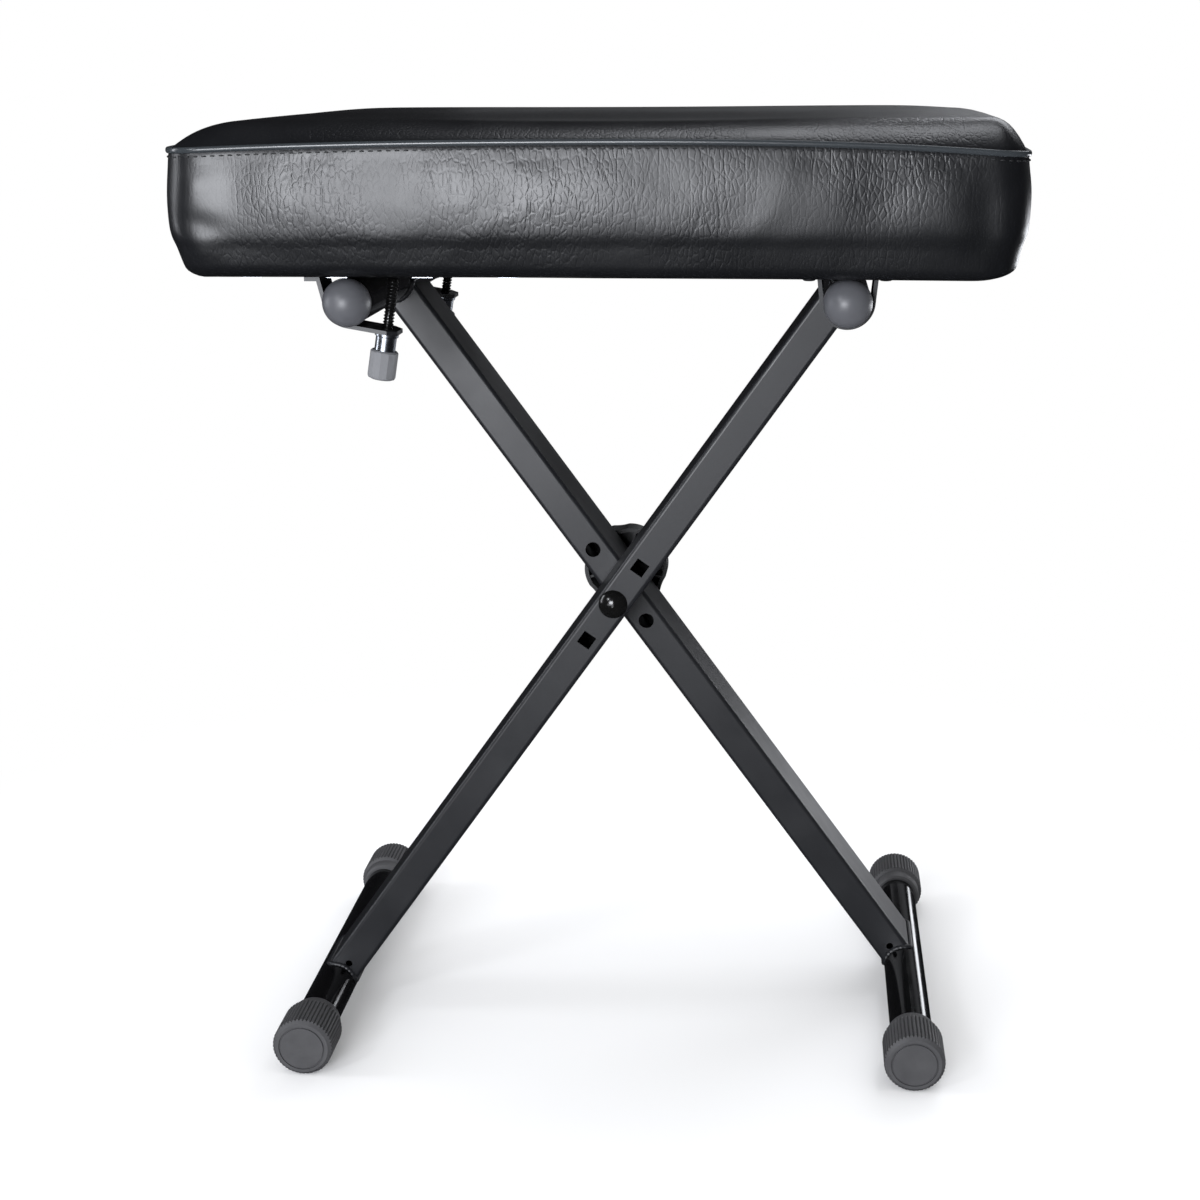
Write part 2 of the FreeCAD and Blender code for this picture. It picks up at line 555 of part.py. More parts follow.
def saddle(y):
    """Flared U strap round the right top tube, with a flange each side under the board."""
    under = BOARD_Z - TOP_Z
    first = 180 + SADDLE_LEAN
    last = 360 - SADDLE_LEAN
    flange = under - STRAP_THICK
    inner = saddle_side(STRAP_IN, under)
    outer = saddle_side(STRAP_OUT, flange)
    reach = screw_reach() + SCREW_HEAD_D / 2 + SADDLE_MARGIN
    outline = Part.Wire([
        line(vec(-inner, 0, under), round_tube(first, STRAP_IN)),
        arc(round_tube(first, STRAP_IN), round_tube(270, STRAP_IN), round_tube(last, STRAP_IN)),
        line(round_tube(last, STRAP_IN), vec(inner, 0, under)),
        line(vec(inner, 0, under), vec(reach, 0, under)),
        line(vec(reach, 0, under), vec(reach, 0, flange)),
        line(vec(reach, 0, flange), vec(outer, 0, flange)),
        line(vec(outer, 0, flange), round_tube(last, STRAP_OUT)),
        arc(round_tube(last, STRAP_OUT), round_tube(270, STRAP_OUT), round_tube(first, STRAP_OUT)),
        line(round_tube(first, STRAP_OUT), vec(-outer, 0, flange)),
        line(vec(-outer, 0, flange), vec(-reach, 0, flange)),
        line(vec(-reach, 0, flange), vec(-reach, 0, under)),
        line(vec(-reach, 0, under), vec(-inner, 0, under))])
    body = moved(strap(outline, y, STRAP_WIDTH), TOP_X, 0, TOP_Z)
    through = STRAP_THICK + 2 * OVERCUT
    for place in screw_places():
        start = place - Z_AXIS * (STRAP_THICK + OVERCUT)
        body = body.cut(rod(SCREW_D / 2 + RUN_CLEARANCE, start, Z_AXIS, through))
    return body


def saddle_screws():
    screws = []
    for place in screw_places():
        under = place - Z_AXIS * STRAP_THICK
        shank = rod(SCREW_D / 2, under, Z_AXIS, STRAP_THICK + SCREW_BITE - SCREW_SPARE)
        head = rod(SCREW_HEAD_D / 2, under - Z_AXIS * SCREW_HEAD_HEIGHT, Z_AXIS, SCREW_HEAD_HEIGHT)
        low = [e for e in head.Edges if e.BoundBox.ZMax < under.z - SCREW_HEAD_HEIGHT + 0.01]
        screws.append(head.makeFillet(SCREW_HEAD_ROUND, low).fuse(shank))
    return Part.makeCompound(screws)


def clamp_strap(y):
    """J strap that hooks under the left top tube, with a sloped flange for the thumb screw."""
    under = SEAT_Z - CLAMP_CLEARANCE - TOP_Z
    first, last = 180 + CLAMP_LEAN, 270 - CLAMP_FLANGE_SLOPE
    lean = math.radians(CLAMP_LEAN)
    slope = math.radians(CLAMP_FLANGE_SLOPE)
    middle_turn = (first + last) / 2

    def leg_top(radius, height):
        foot = round_tube(first, radius)
        return vec(foot.x - (height - foot.z) * math.tan(lean), 0, height)

    def flange_end(radius):
        start = round_tube(last, radius)
        run = (CLAMP_FLANGE_END - start.x) / math.cos(slope)
        return start + vec(math.cos(slope), 0, -math.sin(slope)) * run

    lip = under - STRAP_THICK
    lip_end = leg_top(STRAP_OUT, under).x - CLAMP_LIP
    outline = Part.Wire([
        line(leg_top(STRAP_IN, under), round_tube(first, STRAP_IN)),
        arc(round_tube(first, STRAP_IN), round_tube(middle_turn, STRAP_IN), round_tube(last, STRAP_IN)),
        line(round_tube(last, STRAP_IN), flange_end(STRAP_IN)),
        line(flange_end(STRAP_IN), flange_end(STRAP_OUT)),
        line(flange_end(STRAP_OUT), round_tube(last, STRAP_OUT)),
        arc(round_tube(last, STRAP_OUT), round_tube(middle_turn, STRAP_OUT), round_tube(first, STRAP_OUT)),
        line(round_tube(first, STRAP_OUT), leg_top(STRAP_OUT, lip)),
        line(leg_top(STRAP_OUT, lip), vec(lip_end, 0, lip)),
        line(vec(lip_end, 0, lip), vec(lip_end, 0, under)),
        line(vec(lip_end, 0, under), leg_top(STRAP_IN, under))])
    body = strap(outline, y, STRAP_WIDTH)
    corners = [e for e in body.Edges
               if e.BoundBox.XMin > CLAMP_FLANGE_END - 1 and e.BoundBox.YLength < 0.01]
    body = body.makeChamfer(CLAMP_CORNER, corners)
    middle, axis = thumb_frame()
    below = middle + vec(0, y, 0) - axis * STRAP_THICK
    hole = rod(THUMB_D / 2 + CLAMP_HOLE_CLEARANCE, below, axis, 2 * STRAP_THICK)
    return moved(body.cut(hole), -TOP_X, 0, TOP_Z)


def on_thumb(shape, y):
    """Put a piece made along Y, with 0 at the middle of the flange, on a thumb screw's axis."""
    middle, axis = thumb_frame()
    placed = shape.copy()
    placed.rotate(ORIGIN, X_AXIS, 90)
    placed.rotate(ORIGIN, Y_AXIS, CLAMP_FLANGE_SLOPE)
    placed.translate(middle + vec(-TOP_X, y, TOP_Z))
    return placed


def thumb_levels():
    """Heights along the thumb screw: under the flange, end of ferrule, end of grip, top."""
    middle, axis = thumb_frame()
    seat = -STRAP_THICK / 2 - RUN_CLEARANCE
    ferrule = seat - FERRULE_LENGTH
    top = (SEAT_Z - CLAMP_CLEARANCE - TOP_Z - middle.z - THUMB_D / 2 * axis.x) / axis.z
    return seat, ferrule, ferrule - GRIP_LENGTH + GRIP_BEVEL, top


def thumb_shank(y):
    seat, ferrule, end, top = thumb_levels()
    low = ferrule - THUMB_BURIED
    shank = turned([(0, low), (THUMB_D / 2, low), (THUMB_D / 2, top - THREAD_CHAMFER),
                    (THUMB_D / 2 - THREAD_CHAMFER, top), (0, top)])
    return on_thumb(shank, y)


def thumb_ferrule(y):
    seat, ferrule, end, top = thumb_levels()
    wide = FERRULE_SHOULDER_D / 2
    body = FERRULE_D / 2
    bore = THUMB_D / 2 + PRESS_CLEARANCE
    low = seat - FERRULE_SHOULDER
    sleeve = turned([(bore, seat), (wide - FERRULE_BEVEL, seat), (wide, seat - FERRULE_BEVEL), (wide, low),
                     (body, low - FERRULE_BEVEL), (body, ferrule), (bore, ferrule)])
    return on_thumb(sleeve, y)


def thumb_grip(y):
    """Faceted rubber grip with a rounded free end, moulded over the ferrule."""
    seat, ferrule, end, top = thumb_levels()
    start = ferrule + GRIP_BEVEL
    reach = GRIP_D / 2
    ring_points = [vec(reach * math.cos(2 * math.pi * n / GRIP_FACETS), start,
                       reach * math.sin(2 * math.pi * n / GRIP_FACETS)) for n in range(GRIP_FACETS)]
    prism = Part.Face(Part.makePolygon(ring_points + ring_points[:1])).extrude(vec(0, end - start, 0))
    round_off = GRIP_END_ROUND
    envelope = turned([(0, start), (reach - GRIP_BEVEL, start), (reach, start - GRIP_BEVEL),
                       (reach, end + round_off), (reach - round_off * 0.3, end + round_off * 0.3),
                       (reach - round_off, end), (0, end)])
    grip = prism.common(envelope)
    grip = grip.cut(along_y(FERRULE_D / 2 + PRESS_CLEARANCE, 0, 0, ferrule, start + OVERCUT))
    low = ferrule - THUMB_BURIED - PRESS_CLEARANCE
    bore = along_y(THUMB_D / 2 + PRESS_CLEARANCE, 0, 0, low, start + OVERCUT)
    return on_thumb(grip.cut(bore), y)


def build():
    cap = foot_cap()
    plug = ball_plug()
    parts = {
        "seat_cover": seat_cover(),
        "seat_foam": seat_foam(),
        "seat_board": seat_board(),
        "clamp_tee_nuts": tee_nuts(),
        "hem_staples": hem_staples(),
        "saddle_screws": saddle_screws(),
        "front_bar": bar("front"),
        "rear_bar": bar("rear"),
        "pivot_bolt": pivot_bolt(),
        "pivot_spacer": ring(SPACER_D, BOLT_D + 2 * RUN_CLEARANCE, FRONT_BAR_Y + BAR_DEPTH,
                             REAR_BAR_Y - RUN_CLEARANCE),
        "pivot_washer": ring(WASHER_D, BOLT_D + 4 * RUN_CLEARANCE, REAR_BAR_BACK,
                             REAR_BAR_BACK + WASHER_THICK),
        "knob_body": knob_body(),
        "knob_nut": ring(KNOB_NUT_D, BOLT_D + 2 * PRESS_CLEARANCE, KNOB_FACE_Y, BOLT_END_Y),
    }
    foot_tube_length = FOOT_LENGTH - 2 * CAP_END_WALL
    for side, name in ((-1, "left"), (1, "right")):
        parts[name + "_foot_tube"] = tube(FOOT_TUBE_D, side * FOOT_X, FOOT_Z, foot_tube_length)
        parts[name + "_front_cap"] = moved(cap, side * FOOT_X, -FOOT_LENGTH / 2, FOOT_Z)
        parts[name + "_rear_cap"] = moved(mirrored_end(cap), side * FOOT_X, FOOT_LENGTH / 2, FOOT_Z)
        parts[name + "_top_tube"] = tube(TOP_TUBE_D, side * TOP_X, TOP_Z, TOP_TUBE_LENGTH)
        parts[name + "_front_plug"] = moved(plug, side * TOP_X, -TOP_TUBE_LENGTH / 2, TOP_Z)
        parts[name + "_rear_plug"] = moved(mirrored_end(plug), side * TOP_X, TOP_TUBE_LENGTH / 2, TOP_Z)
    for y, name in zip(BRACKET_YS, ("front", "rear")):
        parts[name + "_saddle"] = saddle(y)
        parts[name + "_clamp_strap"] = clamp_strap(y)
        parts[name + "_thumb_shank"] = thumb_shank(y)
        parts[name + "_thumb_ferrule"] = thumb_ferrule(y)
        parts[name + "_thumb_grip"] = thumb_grip(y)
    return parts


os.makedirs("parts", exist_ok=True)
for node, shape in build().items():
    shape.exportStep("parts/" + node + ".step")
    print(node, len(shape.Solids), "solid(s), valid", shape.isValid(), "volume", round(shape.Volume, 1))
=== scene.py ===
"""Looks, studio and camera of a folding keyboard bench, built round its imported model."""

import json
import logging
import math
from dataclasses import dataclass
from enum import Enum

import bmesh
import bpy
from mathutils import Matrix, Vector, noise

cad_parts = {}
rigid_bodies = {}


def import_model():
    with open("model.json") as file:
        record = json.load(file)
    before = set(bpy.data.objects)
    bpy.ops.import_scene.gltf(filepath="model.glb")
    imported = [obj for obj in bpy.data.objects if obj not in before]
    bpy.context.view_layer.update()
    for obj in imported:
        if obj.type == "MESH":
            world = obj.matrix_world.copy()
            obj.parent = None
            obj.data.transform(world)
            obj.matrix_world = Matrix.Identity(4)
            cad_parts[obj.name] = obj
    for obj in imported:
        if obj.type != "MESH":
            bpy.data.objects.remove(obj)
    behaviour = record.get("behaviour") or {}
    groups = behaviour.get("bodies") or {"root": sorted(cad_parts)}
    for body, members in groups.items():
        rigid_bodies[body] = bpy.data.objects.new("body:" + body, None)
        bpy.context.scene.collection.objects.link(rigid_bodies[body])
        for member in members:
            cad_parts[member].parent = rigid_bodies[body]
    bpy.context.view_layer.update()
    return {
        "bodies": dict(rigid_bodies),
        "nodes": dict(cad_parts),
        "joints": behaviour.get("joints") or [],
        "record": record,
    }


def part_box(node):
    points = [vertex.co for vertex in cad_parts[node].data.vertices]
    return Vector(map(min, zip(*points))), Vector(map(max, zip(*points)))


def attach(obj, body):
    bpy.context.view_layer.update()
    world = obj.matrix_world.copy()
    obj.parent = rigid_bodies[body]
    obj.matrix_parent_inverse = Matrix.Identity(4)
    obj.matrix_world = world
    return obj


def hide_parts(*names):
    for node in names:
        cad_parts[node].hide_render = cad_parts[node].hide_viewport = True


LOG = logging.getLogger("bench")
MM = 0.001
DAYLIGHT = (0.93, 0.95, 1.0)


def linear(code: str) -> tuple[float, float, float, float]:
    """Turn an sRGB hex colour into linear light.

    Args:
        code: Colour as #rrggbb.

    Returns:
        Linear red, green, blue and an alpha of 1.
    """
    shares = [int(code[start:start + 2], 16) / 255 for start in (1, 3, 5)]
    red, green, blue = [s / 12.92 if s <= 0.04045 else ((s + 0.055) / 1.055) ** 2.4 for s in shares]
    return red, green, blue, 1.0


def add_node(tree: bpy.types.NodeTree, kind: str, inputs: dict | None = None, **settings) -> bpy.types.Node:
    """Add a node with its settings, values and links.

    Args:
        tree: Node tree that takes the node.
        kind: Node type, such as ShaderNodeBump.
        inputs: Value or linked socket for each input, by name or number.
        settings: Properties of the node itself.

    Returns:
        The new node.
    """
    node = tree.nodes.new(kind)
    for name, value in settings.items():
        setattr(node, name, value)
    for key, value in (inputs or {}).items():
        if isinstance(value, bpy.types.NodeSocket):
            tree.links.new(value, node.inputs[key])
        else:
            node.inputs[key].default_value = value
    return node


def closed_tube(rings: list[list[Vector]]) -> bmesh.types.BMesh:
    """Skin a closed run of rings.

    Args:
        rings: The points of each ring, in metres, with as many in each.

    Returns:
        The mesh, with its faces outwards.
    """
    bm = bmesh.new()
    hoops = []
    for points in rings:
        ring = [bm.verts.new(point) for point in points]
        hoops.append([bm.edges.new(pair) for pair in zip(ring, ring[1:] + ring[:1])])
    for first, second in zip(hoops, hoops[1:] + hoops[:1]):
        bmesh.ops.bridge_loops(bm, edges=first + second)
    bmesh.ops.recalc_face_normals(bm, faces=bm.faces)
    return bm


def smooth_step(value: float, low: float, high: float) -> float:
    """Ease from 0 at low to 1 at high."""
    share = min(1.0, max(0.0, (value - low) / (high - low)))
    return share * share * (3 - 2 * share)


class Slot(Enum):
    """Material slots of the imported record."""

    VINYL = "seat_vinyl"
    FOAM = "seat_foam"
    BOARD = "seat_board"
    POWDER = "powder_coat"
    ENAMEL = "gloss_paint"
    CAP = "cap_rubber"
    PLUG = "plug_plastic"
    KNOB = "knob_plastic"
    BOLT = "black_bolt"
    ZINC = "zinc_steel"
    BRASS = "brass_insert"
    GRIP = "grip_rubber"


@dataclass(frozen=True)
class Finish:
    """A dielectric or metal finish with uneven roughness and a fine relief.

    The grain, the relief and the blotches are in millimetres. Grain finer than about half a millimetre is
    drawn at that size, because it wouldn't show otherwise.
    """

    name: str
    colour: str
    tint: str
    roughness: tuple[float, float]
    grain: float
    relief: float
    ior: float = 1.5
    metallic: float = 0.0
    blotch: float = 40.0
    stretch: tuple[float, float, float] = (1.0, 1.0, 1.0)

    def relief_of(self, tree: bpy.types.NodeTree, place: bpy.types.NodeSocket) -> bpy.types.NodeSocket:
        """Height of the fine relief, from 0 to 1.

        Args:
            tree: Node tree of the material.
            place: Object coordinates.

        Returns:
            Socket that carries the height.
        """
        fine = add_node(tree, "ShaderNodeTexNoise",
                        {"Vector": place, "Scale": 1 / (self.grain * MM), "Detail": 3.0, "Roughness": 0.6})
        return fine.outputs["Fac"]

    def build(self) -> bpy.types.Material:
        """Make the material.

        Returns:
            A node material that reads Object coordinates.
        """
        material = bpy.data.materials.new(self.name)
        material.use_nodes = True
        tree = material.node_tree
        tree.nodes.clear()
        where = add_node(tree, "ShaderNodeTexCoord")
        laid = add_node(tree, "ShaderNodeMapping", {"Vector": where.outputs["Object"], "Scale": self.stretch})
        place = laid.outputs["Vector"]
        patches = add_node(tree, "ShaderNodeTexNoise",
                           {"Vector": place, "Scale": 1 / (self.blotch * MM), "Detail": 4.0,
                            "Roughness": 0.55})
        uneven = add_node(tree, "ShaderNodeMapRange",
                          {"Value": patches.outputs["Fac"], "From Min": 0.3, "From Max": 0.7,
                           "To Min": self.roughness[0], "To Max": self.roughness[1]})
        shade = add_node(tree, "ShaderNodeMix",
                         {0: patches.outputs["Fac"], 6: linear(self.colour), 7: linear(self.tint)},
                         data_type="RGBA")
        height = self.relief_of(tree, place)
        bump = add_node(tree, "ShaderNodeBump",
                        {"Height": height, "Distance": self.relief * MM, "Strength": 1.0})
        shader = add_node(tree, "ShaderNodeBsdfPrincipled",
                          {"Base Color": shade.outputs[2], "Roughness": uneven.outputs["Result"],
                           "Normal": bump.outputs["Normal"], "IOR": self.ior, "Metallic": self.metallic})
        add_node(tree, "ShaderNodeOutputMaterial", {"Surface": shader.outputs["BSDF"]})
        return material


@dataclass(frozen=True)
class GrainedVinyl(Finish):
    """PVC leather cloth, embossed with pebbles that stretch into creases where it is pulled.

    The emboss breaks the soft sheen of the top coat. Pebbles and creases are sizes in millimetres.
    """

    pebble: float = 4.4
    crease: float = 9.0
    patch: float = 85.0
    wander: float = 6.0
    wander_by: float = 1.2

    def relief_of(self, tree: bpy.types.NodeTree, place: bpy.types.NodeSocket) -> bpy.types.NodeSocket:
        """Pebbles with creases between them, strong in some patches and faint in others."""
        warp = add_node(tree, "ShaderNodeTexNoise",
                        {"Vector": place, "Scale": 1 / (self.wander * MM), "Detail": 2.0})
        shifted = add_node(tree, "ShaderNodeMixRGB",
                           {"Fac": self.wander_by * MM, "Color1": place, "Color2": warp.outputs["Color"]},
                           blend_type="ADD")
        upright = add_node(tree, "ShaderNodeMapping",
                           {"Vector": shifted.outputs["Color"], "Scale": (1.7, 1.7, 0.8)})
        pebbles = add_node(tree, "ShaderNodeTexVoronoi",
                           {"Vector": upright.outputs["Vector"], "Scale": 1 / (self.pebble * MM),
                            "Randomness": 0.95}, feature="DISTANCE_TO_EDGE")
        crowned = add_node(tree, "ShaderNodeMapRange",
                           {"Value": pebbles.outputs["Distance"], "From Min": 0.0, "From Max": 0.22},
                           interpolation_type="SMOOTHSTEP")
        pulled = add_node(tree, "ShaderNodeMapping",
                          {"Vector": shifted.outputs["Color"], "Scale": (1.0, 1.0, 0.18),
                           "Rotation": (0.0, 0.12, 0.0)})
        creases = add_node(tree, "ShaderNodeTexVoronoi",
                           {"Vector": pulled.outputs["Vector"], "Scale": 1 / (self.crease * MM),
                            "Randomness": 1.0}, feature="DISTANCE_TO_EDGE")
        furrow = add_node(tree, "ShaderNodeMapRange",
                          {"Value": creases.outputs["Distance"], "From Min": 0.0, "From Max": 0.07},
                          interpolation_type="SMOOTHSTEP")
        patches = add_node(tree, "ShaderNodeTexNoise",
                           {"Vector": place, "Scale": 1 / (self.patch * MM), "Detail": 1.0})
        strong = add_node(tree, "ShaderNodeMapRange",
                          {"Value": patches.outputs["Fac"], "From Min": 0.42, "From Max": 0.62,
                           "To Min": 0.25, "To Max": 1.0})
        coarse = add_node(tree, "ShaderNodeMath", {0: crowned.outputs["Result"], 1: strong.outputs["Result"]},
                          operation="MULTIPLY")
        deep = add_node(tree, "ShaderNodeMath", {0: furrow.outputs["Result"], 1: strong.outputs["Result"]},
                        operation="MULTIPLY")
        pores = add_node(tree, "ShaderNodeTexNoise",
                         {"Vector": place, "Scale": 1 / (self.grain * MM), "Detail": 2.0})
        first = add_node(tree, "ShaderNodeMath", {0: deep.outputs[0], 1: 0.9, 2: coarse.outputs[0]},
                         operation="MULTIPLY_ADD")
        total = add_node(tree, "ShaderNodeMath", {0: pores.outputs["Fac"], 1: 0.12, 2: first.outputs[0]},
                         operation="MULTIPLY_ADD")
        return total.outputs[0]


@dataclass(frozen=True)
class Plywood(Finish):
    """Rotary cut birch ply, stained black: long fibres show faintly through the stain."""

    def relief_of(self, tree: bpy.types.NodeTree, place: bpy.types.NodeSocket) -> bpy.types.NodeSocket:
        """Long fibres along the board."""
        fibres = add_node(tree, "ShaderNodeMapping", {"Vector": place, "Scale": (0.05, 1.0, 1.0)})
        fine = add_node(tree, "ShaderNodeTexNoise",
                        {"Vector": fibres.outputs["Vector"], "Scale": 1 / (self.grain * MM), "Detail": 5.0})
        return fine.outputs["Fac"]


FINISHES = {
    # Soft sheen broken by the grain.
    Slot.VINYL: GrainedVinyl("embossed_pvc_cloth", "#0b0c0e", "#121316", (0.29, 0.38), 0.7, 0.055,
                             blotch=60.0),
    # Yellowed polyurethane with open cells, quite dull.
    Slot.FOAM: Finish("open_cell_foam", "#d8cf9a", "#c9bf86", (0.85, 0.95), 1.2, 0.5),
    # Dull, with the fibres of the wood.
    Slot.BOARD: Plywood("black_stained_ply", "#15130f", "#0e0d0c", (0.6, 0.75), 1.4, 0.12,
                        stretch=(0.25, 1.0, 1.0)),
    # Baked powder: an even satin with a very fine orange peel.
    Slot.POWDER: Finish("satin_powder_coat", "#16171a", "#1d1e21", (0.34, 0.44), 0.55, 0.012),
    # Dipped and stoved: deep black, with sharp highlights along the tubes.
    Slot.ENAMEL: Finish("gloss_stoved_enamel", "#060607", "#09090a", (0.10, 0.16), 1.5, 0.008, blotch=25.0),
    # Matt. Its light grey colour is a painted reflection that brightens the end discs, with random blotches
    # of a lighter grey.
    Slot.CAP: Finish("moulded_nitrile_rubber", "#38383a", "#464648", (0.50, 0.65), 0.45, 0.05, blotch=12.0),
    # A little waxy, with a broad highlight on the ball. Its grey colour, lighter than the plastic's own, is a
    # painted highlight on the ball.
    Slot.PLUG: Finish("moulded_polyethylene", "#45464a", "#4f5054", (0.34, 0.42), 0.5, 0.02, blotch=15.0),
    # Smooth from the mould, with a clear soft highlight.
    Slot.KNOB: Finish("moulded_abs", "#121314", "#18191a", (0.30, 0.40), 0.45, 0.02, blotch=18.0),
    # Wet black with a small hard highlight.
    Slot.BOLT: Finish("black_lacquered_steel", "#090909", "#101010", (0.12, 0.20), 1.8, 0.015, blotch=4.0),
    # Bluish bright metal, blurred by the plating.
    Slot.ZINC: Finish("bright_zinc_plate", "#b4b8be", "#8f949b", (0.22, 0.36), 0.8, 0.01, metallic=1.0,
                      blotch=5.0),
    # Warm metal from the lathe.
    Slot.BRASS: Finish("turned_brass", "#c7a14f", "#a9853d", (0.25, 0.35), 0.6, 0.01, metallic=1.0,
                       blotch=6.0),
    # Grey and dry to the touch.
    Slot.GRIP: Finish("moulded_grip_rubber", "#6c6d70", "#5c5d60", (0.42, 0.55), 0.5, 0.03, blotch=8.0),
}
# The fold of the seam presses the grain out of the cloth, which leaves it smooth. Its lighter, bluish grey
# colour is a painted highlight along the seam.
SEAM_EDGE_PAINTED_HIGHLIGHT = Finish("pvc_edge_painted_highlight", "#33373a", "#26292c", (0.16, 0.24), 0.8, 0.006, blotch=30.0)
# Twisted black thread, dull. It is a little greyer than the cloth, and that grey is a painted sheen.
THREAD = Finish("bonded_polyester_thread", "#1c1d1f", "#232426", (0.55, 0.65), 0.4, 0.05, blotch=6.0)


class Workshop:
    """Materials and object making shared by every sub-assembly."""

    def __init__(self, frame: dict) -> None:
        """Keep the frame and make each finish once."""
        self.frame = frame
        self.materials = {slot: finish.build() for slot, finish in FINISHES.items()}

    def dress_frame(self) -> None:
        """Give each node of the frame the finish of its material slot."""
        slots = {part["node"]: part["material_slot"] for part in self.frame["record"]["subparts"]}
        for name, node in self.frame["nodes"].items():
            node.data.materials.clear()
            node.data.materials.append(self.materials[Slot(slots[name])])
        LOG.info("dressed %d nodes of the frame", len(slots))

    def piece(self, name: str, bm: bmesh.types.BMesh, slot: Slot, body: str,
              finish: Finish | None = None) -> bpy.types.Object:
        """Turn a finished bmesh into a piece that rides on a body.

        Args:
            name: Name of the piece.
            bm: Its mesh, in metres and in place. It is freed.
            slot: Material slot that it takes its finish from.
            body: Body of the frame that carries it.
            finish: Its own finish, where that differs from the slot's.

        Returns:
            The new object.
        """
        mesh = bpy.data.meshes.new(name)
        for face in bm.faces:
            face.smooth = True
        bm.to_mesh(mesh)
        bm.free()
        made = bpy.data.objects.new(name, mesh)
        bpy.context.scene.collection.objects.link(made)
        mesh.materials.append(finish.build() if finish else self.materials[slot])
        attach(made, body)
        LOG.info("%s: %d faces on %s", name, len(mesh.polygons), body)
        return made


@dataclass
class Dent:
    """A soft hollow, or with a negative depth a swelling, in one face of the cushion."""

    along: float
    height: float
    width: float
    tall: float
    depth: float
    lean: float = 0.0

    def push(self, along: float, height: float) -> float:
        """How far in the face goes at a place, in millimetres."""
        turn = math.radians(self.lean)
        du = along - self.along
        dv = height - self.height
        across = (du * math.cos(turn) + dv * math.sin(turn)) / self.width
        upward = (dv * math.cos(turn) - du * math.sin(turn)) / self.tall
        return self.depth * math.exp(-across * across - upward * upward)


